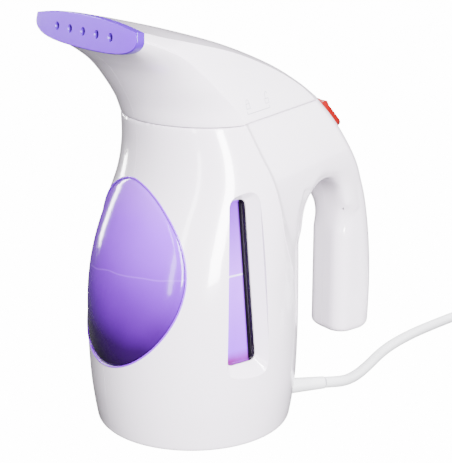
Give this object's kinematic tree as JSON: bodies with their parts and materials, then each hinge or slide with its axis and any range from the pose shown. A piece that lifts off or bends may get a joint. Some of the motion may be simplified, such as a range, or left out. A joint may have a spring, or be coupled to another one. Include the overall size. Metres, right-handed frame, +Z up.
{
  "type": "garment steamer",
  "caption": "Hand-held garment steamer with a round tank body, violet water windows, a twist-off curved head with a wide slot nozzle, and a rear handle with a rocker switch.",
  "frame": {"origin": "centre of the underside of the base, on the floor", "axes": "+Z up, the nozzle looks to -Y, the handle is at +Y, X is across the object"},
  "size_m": [0.1447, 0.3393, 0.2111],
  "materials": {
    "white_shell": "glossy moulded ABS",
    "violet_clear": "transparent violet plastic",
    "violet_nozzle": "translucent violet plastic",
    "clear_plastic": "natural polypropylene",
    "grey_plastic": "satin moulded plastic",
    "dark_plastic": "matt black plastic",
    "ivory_plastic": "matt ivory plastic",
    "silicone": "soft silicone",
    "aluminium": "cast and machined",
    "steel": "plated steel",
    "brass": "polished brass",
    "lead_red": "silicone sleeve",
    "lead_blue": "silicone sleeve",
    "red_rocker": "translucent red plastic",
    "white_cord": "satin PVC",
    "black_tie": "woven hook and loop tape"
  },
  "bodies": {
    "base": {"body_shell_right": "white_shell", "body_shell_left": "white_shell", "base_plate": "white_shell", "base_screws": "steel", "front_window": "violet_clear", "side_window_right": "violet_clear", "side_window_left": "violet_clear", "water_tank": "violet_clear", "tank_gasket": "silicone", "heater_plate": "aluminium", "heater_screws": "steel", "heating_element": "steel", "boiler_hood": "dark_plastic", "steam_tube": "clear_plastic", "thermostat": "steel", "thermal_fuse": "steel", "terminal_block": "ivory_plastic", "heater_leads": "lead_red", "switch_leads": "lead_blue", "neck_collar": "grey_plastic", "collar_screws": "steel", "switch_bezel": "white_shell", "switch_housing": "dark_plastic", "switch_terminals": "brass", "switch_pin": "steel", "strain_relief": "white_cord", "cord_lead": "white_cord", "cord_clamp": "dark_plastic", "clamp_screws": "steel", "power_cord": "white_cord", "cord_coil": "white_cord", "cord_end": "white_cord", "cord_tie": "black_tie", "plug_body": "white_cord", "plug_pins": "brass"},
    "seal": {"neck_seal": "silicone"},
    "head": {"head_plug": "white_shell", "head_screws": "steel", "splash_baffle": "clear_plastic", "steam_duct": "clear_plastic", "head_shell_right": "white_shell", "head_shell_left": "white_shell", "nozzle_gasket": "silicone", "nozzle_plate": "violet_nozzle"},
    "rocker": {"switch_rocker": "red_rocker"}
  },
  "joints": [
    {"name": "head_lift", "type": "slide", "parent": "base", "child": "seal", "axis": [0, 0, 1], "range_m": [0, 0.06]},
    {"name": "head_twist", "type": "hinge", "parent": "seal", "child": "head", "pos_m": [0, 0, 0.159], "axis": [0, 0, 1], "range_deg": [0, 25]},
    {"name": "rocker_tip", "type": "hinge", "parent": "base", "child": "rocker", "pos_m": [0, 0.08501, 0.14751], "axis": [1, 0, 0], "range_deg": [0, 16]}
  ]
}
